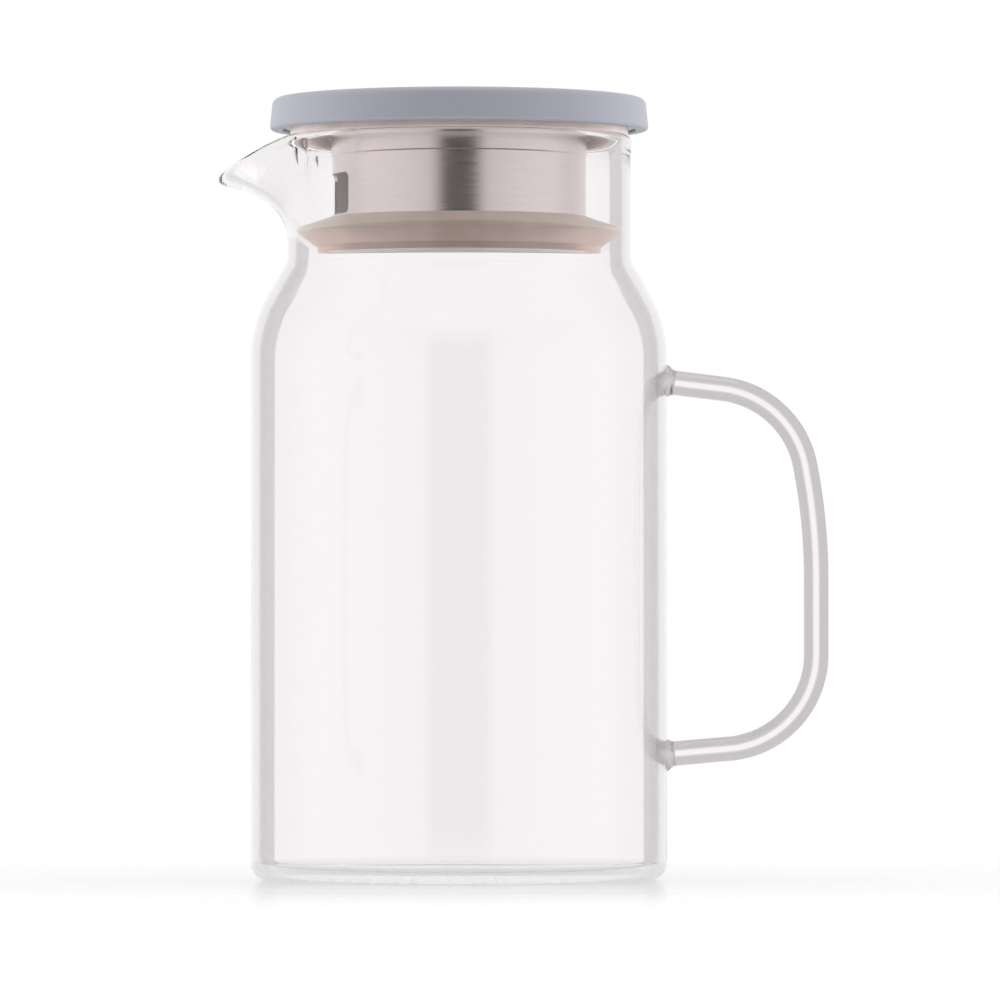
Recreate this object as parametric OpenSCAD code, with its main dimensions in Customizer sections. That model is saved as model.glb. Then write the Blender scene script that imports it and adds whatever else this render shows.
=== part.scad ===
// Glass pitcher with a push-in lid. The body is blown glass with a pulled spout and a fused
// rod handle. The lid is a moulded cap over a steel pouring drum, with two silicone seals.
// The origin is on the body's axis, on the face that the pitcher stands on, and +Z is up.
// The spout points along -X and the handle along +X.

/* [Glass body] */
// Outer diameter of the body
body_d = 118; // [112:1:140]
// Wall thickness of the body and the neck
glass_wall = 2.3; // [1.8:0.1:3]
// Thickness of the glass floor
floor_t = 3; // [2:0.1:6]
// Outer radius of the corner round the base
base_corner_r = 4.8; // [3.6:0.1:10]
// Height at which the straight side ends and the shoulder starts
side_h = 148; // [100:1:200]
// Radius of the rounded shoulder
shoulder_r = 36; // [20:1:45]
// Slope of the shoulder's cone, in degrees from upright
shoulder_slope = 30; // [24:1:36]
// Radius of the hollow curve between shoulder and neck
neck_fillet_r = 6; // [3:0.5:9]
// How far the neck lies in from the side of the body
shoulder_w = 10.4; // [8:0.1:14]
// Height of the neck, from the end of its fillet to the top of the rim
neck_h = 33.6; // [32:0.1:45]
// How far the rolled rim stands out from the neck
rim_bead = 0.4; // [0.2:0.1:1]

/* [Spout] */
// How far the spout's tip stands out from the neck
spout_reach = 19.5; // [12:0.5:24]
// How far the tip hangs below the rim
spout_drop = 10; // [6:0.5:13]
// How far below the rim the spout starts to swell out of the neck
spout_h = 30.9; // [26:0.1:31]
// Half the angle that the spout takes up round the neck
spout_angle = 28; // [20:1:40]
// How sharply the spout narrows towards its tip
spout_taper = 2.2; // [1.6:0.1:3]
// How far the thick lip of the tip stands out from its wall
tip_bead = 1; // [0.4:0.1:1.4]

/* [Handle] */
// Diameter of the glass rod
rod_d = 7; // [5:0.5:10]
// Distance from the side of the body to the outermost part of the rod's centre line
handle_out = 42.3; // [36:0.1:54]
// How far the upper foot's centre lies below the end of the straight side
handle_drop = 6.7; // [5:0.1:20]
// Slope of the upper arm, in degrees down from level
top_arm_slope = 7; // [2:1:14]
// Slope of the lower arm, in degrees down towards the body
bottom_arm_slope = 5; // [0:1:12]
// Radius of the upper bend, as a share of the handle's distance from the body
top_bend_share = 0.638; // [0.45:0.001:0.72]
// Radius of the long curve of the grip
grip_curve_r = 170; // [140:5:200]
// Angle that the long curve takes up
grip_curve_angle = 11; // [6:1:13]
// Length of the grip's straight part below that curve
grip_straight_l = 21.2; // [14:0.1:34]
// Radius of the lower bend, as a share of the handle's distance from the body
bottom_bend_share = 0.636; // [0.45:0.001:0.72]
// Diameter of each foot where it is fused to the body
foot_d = 9.6; // [8:0.1:13]
// Length over which a foot narrows to the rod
foot_l = 2.4; // [1.5:0.1:5]

/* [Lid cap] */
// How far the cap stands out beyond the neck, on each side
cap_overhang = 5.1; // [4:0.1:10]
// Height of the cap
cap_h = 9.1; // [8:0.1:14]
// How much narrower the cap's side is at the top than at the foot, on the radius
cap_draft = 0.6; // [0.2:0.1:1.5]
// Radius of the cap's top edge
cap_top_edge_r = 2.2; // [1:0.1:2.5]
// Radius of the cap's lower edge
cap_foot_edge_r = 1; // [0.4:0.1:1.2]
// Thickness of the cap's top
cap_top_t = 2.2; // [1.6:0.1:3]
// Thickness of the cap's side at its foot
cap_wall = 2.3; // [2:0.1:3]
// Width of the lip that holds the liner in the cap
snap_lip = 1.2; // [0.8:0.1:1.6]
// Thickness of the stiffening ribs inside the cap
rib_t = 1.2; // [0.8:0.1:2]
// Number of stiffening ribs
rib_count = 8; // [4:1:12]
// Outer diameter of the hub that the ribs meet at
hub_d = 20; // [12:1:30]

/* [Cap liner] */
// Thickness of the liner's plate
liner_t = 1.6; // [1.2:0.1:2.5]
// How deep the liner's plate lies above the cap's foot
liner_recess = 0.8; // [0.5:0.1:1.5]
// Length of the liner's ring that holds the drum
spigot_h = 5; // [3:0.5:7]
// Thickness of that ring
spigot_t = 1.8; // [1.2:0.1:3]

/* [Steel drum] */
// Width of the pouring channel that is left between the drum and the neck's bore
channel_w = 10.3; // [8.5:0.1:13]
// Length of the drum
drum_h = 36; // [35:0.5:40]
// Thickness of the steel
steel_t = 0.8; // [0.6:0.1:1.2]
// Length of the drum's upper collar
collar_h = 7.9; // [6:0.1:9]
// How far the collar stands out from the drum
collar_step = 0.4; // [0.2:0.1:0.8]
// How far the curl at the foot of the drum stands out
curl_w = 1.3; // [0.8:0.1:2]
// Height of that curl
curl_h = 1; // [0.8:0.1:1.6]
// Width of the pouring window
window_w = 36; // [20:1:44]
// Height of the pouring window
window_h = 11.6; // [8:0.1:14]
// Radius of the window's corners
window_corner_r = 2; // [1:0.1:3]
// Height of the steel left between the seal and the window
window_sill = 0.4; // [0.2:0.1:1]

/* [Seals] */
// Height of the seal ring against the drum
seal_h = 10.7; // [9:0.1:12]
// How far the seal ring's skirt stands out from the drum
skirt_w = 4.2; // [3:0.1:6]
// Height of the skirt below the flared lip
skirt_h = 2; // [1:0.1:3]
// Height of the lip's tip above the foot of the seal ring
lip_z = 7.2; // [6:0.1:8]
// Radius of the lip's rounded tip
lip_tip_r = 0.8; // [0.5:0.1:1]
// Height of the lip's shoulder above its tip
lip_shoulder_h = 1.5; // [1:0.1:1.8]
// How far the lip's shoulder lies in from its tip
lip_shoulder_w = 1.6; // [1:0.1:2.5]
// How far the gasket on the rim lies in from the neck's outer side
gasket_inset = 0.6; // [0:0.1:1.5]
// Width of that gasket
gasket_w = 3.8; // [2.5:0.1:4.5]
// Thickness of that gasket
gasket_t = 2.4; // [1.5:0.1:4]

/* [Clearances] */
// Gap between the lip and the neck's bore
lip_gap = 0.3; // [0.2:0.05:0.6]
// Gap between the gasket and the rim
rest_gap = 0.25; // [0.2:0.05:0.5]
// Gap between the drum's flange and the gasket round it
flange_gap = 0.6; // [0.3:0.1:1.5]
// Gap between the drum and the seal ring that it turns in
turn_gap = 0.2; // [0.1:0.05:0.4]
// Gap between pieces that are pressed into each other
press_gap = 0.05; // [0.02:0.01:0.1]
// Gap round the liner inside the cap
liner_gap = 0.2; // [0.1:0.05:0.4]
// How far the neck's faceted wall stands proud of the turned wall that it joins, on each side
join_step = 0.05; // [0.04:0.01:0.1]

/* [Hidden] */

// How far a cut runs past the face that it opens
overrun = 1;
// Sides of a round solid
round_fn = 96;
// Steps along the arcs of a turned outline
arc_steps = 10;
// Angle between the sections of the spout, and between those of the plain neck
spout_step = 2;
neck_step = 4;
// Steps along each section of the neck's wall, and round its rim
wall_steps = 9;
rim_steps = 6;
// Sides of the handle's rod, and steps along its bends, its grip and the flare of its feet
rod_sides = 20;
bend_steps = 14;
grip_steps = 3;
flare_steps = 4;

// Shape of the spout's curve from root to tip, as shares of its height and reach
throat_share = 0.62;
lip_share = 0.55;
lip_rise_share = 0.22;
// Share of the neck wall's curve at which the rim starts to thicken
bead_start_share = 0.82;
// Share of the neck's radius at which the rim starts to droop, and how the droop grows
droop_start_share = 0.94;
droop_power = 1.35;

glass_colour = [0.83, 0.89, 0.9, 0.4];
cap_colour = [0.62, 0.63, 0.67];
liner_colour = [0.78, 0.78, 0.8];
steel_colour = [0.8, 0.77, 0.75];
silicone_colour = [0.8, 0.74, 0.69];

body_r = body_d / 2;
neck_r = body_r - shoulder_w;
bore_r = neck_r - glass_wall;
mid_r = neck_r - glass_wall / 2;

// The shoulder's cone runs from the end of its round to the start of the neck's fillet
cone_foot = [
    body_r - shoulder_r * (1 - cos(shoulder_slope)),
    side_h + shoulder_r * sin(shoulder_slope)
];
cone_top_r = neck_r + neck_fillet_r * (1 - cos(shoulder_slope));
cone_top_z = cone_foot[1] + (cone_foot[0] - cone_top_r) / tan(shoulder_slope);
neck_z = cone_top_z + neck_fillet_r * sin(shoulder_slope);
rim_z = neck_z + neck_h;

ring_half = glass_wall / 2 + join_step;
tip_round_r = ring_half + tip_bead / 2;
spout_end_r = neck_r + spout_reach - tip_round_r;
spout_z = rim_z - spout_h;
droop_start_r = neck_r * droop_start_share;

// Levels of the lid's pieces, from the rim upwards
gasket_z = rim_z + rest_gap;
liner_z = gasket_z + gasket_t;
cap_z = liner_z - liner_recess;
drum_z = liner_z - drum_h;
curl_cover = turn_gap;
seal_z = drum_z - curl_cover;
window_z = seal_z + seal_h + window_sill;

cap_r = neck_r + cap_overhang;
cap_bore_r = cap_r - cap_wall;
drum_r = bore_r - channel_w;
drum_bore_r = drum_r - steel_t;
gasket_r = neck_r - gasket_inset;
flange_r = gasket_r - gasket_w - flange_gap;
seal_bore_r = drum_r + turn_gap;
lip_r = mid_r - ring_half - lip_gap;
rod_r = rod_d / 2;
foot_r = foot_d / 2;

// Points along an arc about a centre
function arc(centre, r, start, end) =
    [for (i = [0:arc_steps])
        let (a = start + (end - start) * i / arc_steps)
        centre + r * [cos(a), sin(a)]];

function reversed(points) = [for (i = [len(points) - 1:-1:0]) points[i]];

// Outline of the body's wall at a depth below its outer surface, from the axis up to the neck
function wall_outline(depth, floor_z) = concat(
    [[0, floor_z]],
    arc(
        [body_r - base_corner_r, floor_z + base_corner_r - depth],
        base_corner_r - depth, -90, 0
    ),
    arc([body_r - shoulder_r, side_h], shoulder_r - depth, 0, shoulder_slope),
    arc(
        [neck_r + neck_fillet_r, neck_z],
        neck_fillet_r + depth, 180 + shoulder_slope, 180
    )
);

// How much of the spout's reach the rim has at an angle from the spout's middle
function spout_share(a) = abs(a) < spout_angle
    ? pow(cos(90 * a / spout_angle), spout_taper)
    : 0;
function bead_at(a) = rim_bead + (tip_bead - rim_bead) * spout_share(a);
function rim_round_at(a) = ring_half + bead_at(a) / 2;
function rim_r_at(a) = mid_r + (spout_end_r - mid_r) * spout_share(a);
function droop_at(a) =
    let (x = rim_r_at(a) * cos(a))
    x <= droop_start_r
        ? 0
        : spout_drop * pow((x - droop_start_r) / (spout_end_r - droop_start_r), droop_power);

// The middle of the neck's wall at an angle, as the four points of a Bezier curve
function wall_curve(a) =
    let (
        h = rim_z - rim_round_at(a) - droop_at(a) - spout_z,
        w = rim_r_at(a) - mid_r
    )
    [
        [mid_r, spout_z],
        [mid_r, spout_z + throat_share * h],
        [mid_r + (1 - lip_share) * w, spout_z + (1 - lip_rise_share) * h],
        [mid_r + w, spout_z + h]
    ];
function bezier(p, t) =
    pow(1 - t, 3) * p[0] + 3 * t * pow(1 - t, 2) * p[1]
    + 3 * t * t * (1 - t) * p[2] + pow(t, 3) * p[3];
function bezier_way(p, t) =
    let (
        way = pow(1 - t, 2) * (p[1] - p[0]) + 2 * t * (1 - t) * (p[2] - p[1])
            + t * t * (p[3] - p[2])
    )
    way / norm(way);
function outward(way) = [way[1], -way[0]];
function bead_swell(t) = t < bead_start_share
    ? 0
    : sin(90 * (t - bead_start_share) / (1 - bead_start_share));

// Section of the neck at an angle: up the outside, over the rim and down the inside
function neck_section(a) =
    let (
        p = wall_curve(a),
        end_way = bezier_way(p, 1),
        rim_centre = p[3] + outward(end_way) * bead_at(a) / 2,
        steps = [for (i = [0:wall_steps]) i / wall_steps]
    )
    concat(
        [[mid_r + ring_half, neck_z]],
        [for (t = steps)
            bezier(p, t)
            + outward(bezier_way(p, t)) * (ring_half + bead_at(a) * bead_swell(t))],
        [for (i = [1:rim_steps - 1])
            let (b = 180 * i / rim_steps)
            rim_centre
            + rim_round_at(a) * (outward(end_way) * cos(b) + end_way * sin(b))],
        [for (t = reversed(steps))
            bezier(p, t) - outward(bezier_way(p, t)) * ring_half],
        [[mid_r - ring_half, neck_z]]
    );

// Angles of the neck's sections, measured from the spout's middle
plain_angle = 360 - 2 * spout_angle;
spout_count = round(2 * spout_angle / spout_step);
plain_count = round(plain_angle / neck_step);
section_angles = concat(
    [for (i = [0:spout_count - 1]) -spout_angle + 2 * spout_angle * i / spout_count],
    [for (i = [0:plain_count - 1]) spout_angle + plain_angle * i / plain_count]
);

// The neck, its rolled rim and the pulled spout, swept through the sections
module neck_and_spout() {
    sections = [for (a = section_angles) neck_section(a)];
    rows = len(sections);
    columns = len(sections[0]);
    points = [
        for (i = [0:rows - 1])
        for (q = sections[i])
        [-q[0] * cos(section_angles[i]), -q[0] * sin(section_angles[i]), q[1]]
    ];
    faces = [
        for (i = [0:rows - 1])
        for (j = [0:columns - 1])
        let (
            next_row = (i + 1) % rows,
            next_column = (j + 1) % columns,
            here = i * columns + j,
            above = i * columns + next_column,
            beside = next_row * columns + j,
            across = next_row * columns + next_column
        )
        each [[here, above, across], [here, across, beside]]
    ];
    polyhedron(points, faces);
}

module glass_body() {
    color(glass_colour) {
        rotate_extrude($fn = round_fn)
            polygon(concat(wall_outline(0, 0), reversed(wall_outline(glass_wall, floor_t))));
        neck_and_spout();
    }
}

// Centres of the handle's bends, in X and Z, worked down from the upper foot on the body
handle_reach = body_r + handle_out;
handle_top_z = side_h - handle_drop;
top_bend_r = handle_out * top_bend_share;
bottom_bend_r = handle_out * bottom_bend_share;
grip_centre_x = handle_reach - grip_curve_r;
top_bend_x = grip_centre_x + (grip_curve_r - top_bend_r) * cos(grip_curve_angle);
top_arm_x = top_bend_x + top_bend_r * sin(top_arm_slope);
grip_centre_z = handle_top_z
    - (top_arm_x - body_r) * tan(top_arm_slope)
    - top_bend_r * cos(top_arm_slope)
    - (grip_curve_r - top_bend_r) * sin(grip_curve_angle);
top_bend_z = grip_centre_z + (grip_curve_r - top_bend_r) * sin(grip_curve_angle);
bottom_bend_x = handle_reach - bottom_bend_r;
bottom_arm_x = bottom_bend_x + bottom_bend_r * sin(bottom_arm_slope);
bottom_bend_z = grip_centre_z - grip_straight_l;
handle_bottom_z = bottom_bend_z
    - bottom_bend_r * cos(bottom_arm_slope)
    - (bottom_arm_x - body_r) * tan(bottom_arm_slope);

// Stations along the rod are [x, z, angle of the section's outer side, radius]
function rod_bend(x, z, r, start, end) =
    [for (i = [0:bend_steps])
        let (a = start + (end - start) * i / bend_steps)
        [x + r * cos(a), z + r * sin(a), a, rod_r]];

// Radius of a foot at a distance from the body, flared where it is fused on
function foot_r_at(s) = rod_r + (foot_r - rod_r) * pow(1 - max(s, 0) / foot_l, 2);
foot_steps = concat([-glass_wall], [for (i = [0:flare_steps]) foot_l * i / flare_steps]);
function top_foot(s) = [
    body_r + s * cos(top_arm_slope),
    handle_top_z - s * sin(top_arm_slope),
    90 - top_arm_slope,
    foot_r_at(s)
];
function bottom_foot(s) = [
    body_r + s * cos(bottom_arm_slope),
    handle_bottom_z + s * sin(bottom_arm_slope),
    bottom_arm_slope - 90,
    foot_r_at(s)
];
rod_stations = concat(
    [for (s = foot_steps) top_foot(s)],
    rod_bend(top_bend_x, top_bend_z, top_bend_r, 90 - top_arm_slope, grip_curve_angle),
    [for (i = [1:grip_steps])
        let (a = grip_curve_angle * (1 - i / grip_steps))
        [grip_centre_x + grip_curve_r * cos(a), grip_centre_z + grip_curve_r * sin(a), a, rod_r]],
    rod_bend(bottom_bend_x, bottom_bend_z, bottom_bend_r, 0, bottom_arm_slope - 90),
    [for (s = reversed(foot_steps)) bottom_foot(s)]
);

// The rod is swept through its stations and cut flush with the body's side
module glass_handle() {
    rows = len(rod_stations);
    points = [
        for (s = rod_stations)
        for (j = [0:rod_sides - 1])
        let (
            b = 360 * j / rod_sides,
            out = s[3] * cos(b)
        )
        [s[0] + out * cos(s[2]), s[3] * sin(b), s[1] + out * sin(s[2])]
    ];
    sides = [
        for (i = [0:rows - 2])
        for (j = [0:rod_sides - 1])
        let (
            next_side = (j + 1) % rod_sides,
            here = i * rod_sides + j,
            beside = i * rod_sides + next_side,
            below = here + rod_sides,
            across = beside + rod_sides
        )
        each [[here, across, below], [here, beside, across]]
    ];
    first_end = [for (j = [rod_sides - 1:-1:0]) j];
    last_end = [for (j = [0:rod_sides - 1]) (rows - 1) * rod_sides + j];
    color(glass_colour)
        difference() {
            polyhedron(points, concat(sides, [first_end, last_end]));
            cylinder(h = side_h + foot_d, r = body_r, $fn = round_fn);
        }
}

// The flared silicone ring that grips the neck. Its foot is recessed for the drum's curl
module seal_ring() {
    lip_centre = [lip_r - lip_tip_r, seal_z + lip_z];
    curl_top_z = drum_z + curl_h + turn_gap;
    curl_room_r = drum_r + curl_w + turn_gap;
    color(silicone_colour)
        rotate_extrude($fn = round_fn)
            polygon(concat(
                [
                    [seal_bore_r, seal_z + seal_h],
                    [seal_bore_r, curl_top_z],
                    [curl_room_r, curl_top_z],
                    [curl_room_r, seal_z],
                    [drum_r + skirt_w, seal_z],
                    [drum_r + skirt_w, seal_z + skirt_h]
                ],
                arc(lip_centre, lip_tip_r, -45, 45),
                [[lip_r - lip_shoulder_w, seal_z + lip_z + lip_shoulder_h]]
            ));
}

module window_outline() {
    inner_w = window_w - 2 * window_corner_r;
    inner_h = window_h - 2 * window_corner_r;
    square([inner_w, window_h], center = true);
    square([window_w, inner_h], center = true);
    for (x = [-inner_w / 2, inner_w / 2], z = [-inner_h / 2, inner_h / 2])
        translate([x, z])
            circle(r = window_corner_r, $fn = round_fn);
}

// The drum is open at its foot and has one window, towards the spout
module steel_drum() {
    collar_z = liner_z - collar_h;
    color(steel_colour)
        difference() {
            rotate_extrude($fn = round_fn)
                polygon([
                    [drum_bore_r, drum_z],
                    [drum_r + curl_w, drum_z],
                    [drum_r + curl_w, drum_z + curl_h],
                    [drum_r, drum_z + curl_h],
                    [drum_r, collar_z],
                    [drum_r + collar_step, collar_z + collar_step],
                    [drum_r + collar_step, liner_z - steel_t],
                    [flange_r, liner_z - steel_t],
                    [flange_r, liner_z],
                    [drum_bore_r, liner_z]
                ]);
            translate([0, 0, window_z + window_h / 2])
                rotate([90, 0, -90])
                    linear_extrude(drum_r + overrun)
                        window_outline();
        }
}

module rim_gasket() {
    color(silicone_colour)
        translate([0, 0, gasket_z])
            difference() {
                cylinder(h = gasket_t, r = gasket_r, $fn = round_fn);
                translate([0, 0, -overrun])
                    cylinder(
                        h = gasket_t + 2 * overrun,
                        r = gasket_r - gasket_w, $fn = round_fn
                    );
            }
}

// The plate that closes the cap from below, with the ring that the drum is pressed on
module cap_liner() {
    spigot_r = drum_bore_r - press_gap;
    color(liner_colour)
        rotate_extrude($fn = round_fn)
            polygon([
                [0, liner_z],
                [spigot_r - spigot_t, liner_z],
                [spigot_r - spigot_t, liner_z - spigot_h],
                [spigot_r, liner_z - spigot_h],
                [spigot_r, liner_z],
                [cap_bore_r - liner_gap, liner_z],
                [cap_bore_r - liner_gap, liner_z + liner_t],
                [0, liner_z + liner_t]
            ]);
}

module lid_cap() {
    top_z = cap_z + cap_h;
    ceiling_z = top_z - cap_top_t;
    top_r = cap_r - cap_draft;
    rib_z = liner_z + liner_t;
    // The ribs reach half way into the cap's top, so that they are one with it
    rib_h = ceiling_z - rib_z + cap_top_t / 2;
    color(cap_colour) {
        rotate_extrude($fn = round_fn)
            polygon(concat(
                [[cap_bore_r - snap_lip, cap_z]],
                arc([cap_r - cap_foot_edge_r, cap_z + cap_foot_edge_r], cap_foot_edge_r, -90, 0),
                arc([top_r - cap_top_edge_r, top_z - cap_top_edge_r], cap_top_edge_r, 0, 90),
                [
                    [0, top_z],
                    [0, ceiling_z],
                    [cap_bore_r, ceiling_z],
                    [cap_bore_r, liner_z],
                    [cap_bore_r - snap_lip, liner_z]
                ]
            ));
        translate([0, 0, rib_z])
            difference() {
                union() {
                    cylinder(h = rib_h, d = hub_d, $fn = round_fn);
                    for (i = [0:rib_count - 1])
                        rotate([0, 0, 360 * i / rib_count])
                            translate([0, -rib_t / 2, 0])
                                cube([cap_bore_r + cap_wall / 2, rib_t, rib_h]);
                }
                translate([0, 0, -overrun])
                    cylinder(h = ceiling_z - rib_z + overrun, d = hub_d - 2 * rib_t, $fn = round_fn);
            }
    }
}

glass_body();
glass_handle();
seal_ring();
steel_drum();
rim_gasket();
cap_liner();
lid_cap();
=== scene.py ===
# %% [markdown]
# # A glass pitcher with a push-in lid
# The pitcher is blown from clear glass, with a spout that was pulled out of the hot rim and a rod
# handle that was fused on in a flame. Its lid is a moulded cap over a steel pouring drum, and two
# silicone rings seal it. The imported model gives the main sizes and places, and this script makes
# the looks: smooth meshes for the seven pieces, their finishes, a plain studio and a camera.

# %% Load the frame
import math

import bmesh
import bpy
from mathutils import Matrix, Vector


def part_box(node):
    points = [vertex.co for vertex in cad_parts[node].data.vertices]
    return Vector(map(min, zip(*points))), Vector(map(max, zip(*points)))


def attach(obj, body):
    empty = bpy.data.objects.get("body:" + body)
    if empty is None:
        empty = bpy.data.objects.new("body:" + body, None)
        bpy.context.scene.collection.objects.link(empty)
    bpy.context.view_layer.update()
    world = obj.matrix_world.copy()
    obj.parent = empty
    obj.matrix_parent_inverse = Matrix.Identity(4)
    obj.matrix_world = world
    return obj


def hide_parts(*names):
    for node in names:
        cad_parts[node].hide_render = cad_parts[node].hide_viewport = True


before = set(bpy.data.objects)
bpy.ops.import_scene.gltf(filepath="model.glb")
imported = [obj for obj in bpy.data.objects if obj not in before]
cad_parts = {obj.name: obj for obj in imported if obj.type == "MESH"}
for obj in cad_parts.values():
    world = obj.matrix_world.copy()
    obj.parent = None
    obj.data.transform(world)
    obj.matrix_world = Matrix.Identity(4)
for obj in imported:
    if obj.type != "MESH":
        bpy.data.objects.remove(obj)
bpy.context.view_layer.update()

MM = 0.001
HAIR = 0.02 * MM

# %% [markdown]
# ## Sizes
# The frame tells how big each piece is. A radius is half the width of a piece's box, and a level
# is the bottom or the top of it. Only what a box can't tell, such as a rounding or a wall, is
# written here, in the same figures as in the solid model. The window, the height of the seal's lip
# and the swell of the rim follow the picture instead, and differ a little from the solid model. A
# hair is the room that is left where two faces would fall together.

# %% Read radii and levels from the frame


def radius_of(node):
    low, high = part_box(node)
    return (high.y - low.y) / 2


def foot_of(node):
    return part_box(node)[0].z


def top_of(node):
    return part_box(node)[1].z


BODY_R = radius_of("glass_body")
RIM_Z = top_of("glass_body")
SEAL_Z = foot_of("seal_ring")
SEAL_TOP_Z = top_of("seal_ring")
LIP_R = radius_of("seal_ring")
DRUM_Z = foot_of("steel_drum")
DRUM_TOP_Z = top_of("steel_drum")
GASKET_Z = foot_of("rim_gasket")
GASKET_R = radius_of("rim_gasket")
LINER_R = radius_of("cap_liner")
LINER_TOP_Z = top_of("cap_liner")
CAP_Z = foot_of("lid_cap")
CAP_TOP_Z = top_of("lid_cap")
CAP_R = radius_of("lid_cap")
HANDLE_END_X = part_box("glass_handle")[1].x
print("rim at", round(RIM_Z / MM, 1), "mm, cap from", round(CAP_Z / MM, 1), "mm")

# %% [markdown]
# ## Turning, the main way of making
# Most of the pieces are round about one axis, as if turned on a lathe. In Blender that is the Spin
# tool: the outline of one half of the section is drawn with vertices and spun a full turn, in
# sectors where one stretch needs finer steps. A Screw modifier would do the same, but Spin leaves a
# plain mesh that can be shaped further.

# %% Helpers that draw an outline and turn it
TURN_STEPS = 192
SAME_PLACE = 0.002 * MM
SMOOTH_UP_TO = math.radians(38)


def arc(centre_r, centre_z, radius, start, end, steps):
    """Points along an arc, with angles in degrees from the outward direction."""
    angles = [math.radians(start + (end - start) * i / steps) for i in range(steps + 1)]
    return [(centre_r + radius * math.cos(a), centre_z + radius * math.sin(a)) for a in angles]


def start_piece(name):
    """A new mesh that holds one vertex at the origin, open in edit mode."""
    bpy.ops.object.select_all(action="DESELECT")
    bpy.ops.mesh.primitive_plane_add(size=MM)
    piece = bpy.context.object
    piece.name = piece.data.name = name
    bpy.ops.object.mode_set(mode="EDIT")
    bpy.ops.mesh.merge(type="CENTER")
    return piece


def select_where(piece, test):
    """Selects the vertices that pass a test, and the edges and faces between them."""
    mesh = bmesh.from_edit_mesh(piece.data)
    for vertex in mesh.verts:
        vertex.select = bool(test(vertex))
    mesh.select_flush_mode()
    mesh.select_mode = {"VERT"}
    mesh.select_flush(True)
    bmesh.update_edit_mesh(piece.data)


def draw_outline(outline, closed):
    """Extrudes the selected vertex from point to point of an outline of (radius, height)."""
    piece = bpy.context.object
    here = outline[0]
    bpy.ops.transform.translate(value=(here[0], 0, here[1]))
    for point in outline[1:]:
        step = (point[0] - here[0], 0, point[1] - here[1])
        bpy.ops.mesh.extrude_region_move(TRANSFORM_OT_translate={"value": step})
        here = point
    if closed:
        select_where(piece, lambda vertex: len(vertex.link_edges) == 1)
        bpy.ops.mesh.edge_face_add()


def finish_mesh(piece):
    """Merges doubles, turns the faces outwards and shades the curves smoothly."""
    bpy.ops.object.mode_set(mode="EDIT")
    bpy.ops.mesh.select_all(action="SELECT")
    bpy.ops.mesh.remove_doubles(threshold=SAME_PLACE)
    bpy.ops.mesh.normals_make_consistent(inside=False)
    bpy.ops.object.mode_set(mode="OBJECT")
    bpy.ops.object.shade_smooth_by_angle(angle=SMOOTH_UP_TO)
    print(piece.name, len(piece.data.polygons), "faces")
    return piece


def turned(name, outline, closed=True, sectors=((360, TURN_STEPS),)):
    """A piece that is round about the Z axis, turned sector by sector of (degrees, steps)."""
    piece = start_piece(name)
    draw_outline(outline, closed)
    bpy.ops.mesh.select_all(action="SELECT")
    for angle, steps in sectors:
        bpy.ops.mesh.spin(
            steps=steps, angle=math.radians(angle), center=(0, 0, 0), axis=(0, 0, 1)
        )
    return finish_mesh(piece)


# %% [markdown]
# ## The blown body
# The body is one glass wall of even thickness: a flat base with a small round corner, straight
# sides, a rounded shoulder and a short neck. The outline therefore goes up the outside, over the
# rolled rim and down the inside, so the turned mesh is a closed wall, and light bends in it as in
# real glass. A single skin with a Solidify modifier would thin out at the rim.

# %% Draw the body's wall
GLASS_WALL = 2.3 * MM
FLOOR_T = 3 * MM
BASE_CORNER_R = 4.8 * MM
SIDE_TOP_Z = 148 * MM
SHOULDER_R = 36 * MM
SHOULDER_SLOPE = 30
NECK_FILLET_R = 6 * MM
NECK_R = 48.6 * MM
RIM_BEAD = 0.4 * MM
BEAD_START_SHARE = 0.75
CORNER_STEPS = 12
SHOULDER_STEPS = 12
NECK_STEPS = 30
RIM_STEPS = 24

cone_foot_r = BODY_R - SHOULDER_R * (1 - math.cos(math.radians(SHOULDER_SLOPE)))
cone_foot_z = SIDE_TOP_Z + SHOULDER_R * math.sin(math.radians(SHOULDER_SLOPE))
cone_top_r = NECK_R + NECK_FILLET_R * (1 - math.cos(math.radians(SHOULDER_SLOPE)))
cone_h = (cone_foot_r - cone_top_r) / math.tan(math.radians(SHOULDER_SLOPE))
NECK_Z = cone_foot_z + cone_h + NECK_FILLET_R * math.sin(math.radians(SHOULDER_SLOPE))
SPOUT_H = 30.9 * MM
SPOUT_Z = RIM_Z - SPOUT_H
MID_R = NECK_R - GLASS_WALL / 2
PLAIN_ROUND_R = (GLASS_WALL + RIM_BEAD) / 2
PLAIN_H = RIM_Z - PLAIN_ROUND_R - SPOUT_Z


def wall_below_neck(depth, floor_z):
    """The wall's outline at a depth below its outer surface, from the axis up to the neck."""
    return [
        (0, floor_z),
        *arc(BODY_R - BASE_CORNER_R, floor_z + BASE_CORNER_R - depth,
             BASE_CORNER_R - depth, -90, 0, CORNER_STEPS),
        *arc(BODY_R - SHOULDER_R, SIDE_TOP_Z, SHOULDER_R - depth,
             0, SHOULDER_SLOPE, SHOULDER_STEPS),
        *arc(NECK_R + NECK_FILLET_R, NECK_Z, NECK_FILLET_R + depth,
             180 + SHOULDER_SLOPE, 180, CORNER_STEPS),
    ]


def bead_swell(t):
    """How far the rolled rim has thickened at a share t of the neck wall's height."""
    way_up = max(0, (t - BEAD_START_SHARE) / (1 - BEAD_START_SHARE))
    return way_up * way_up * (3 - 2 * way_up)


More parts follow.
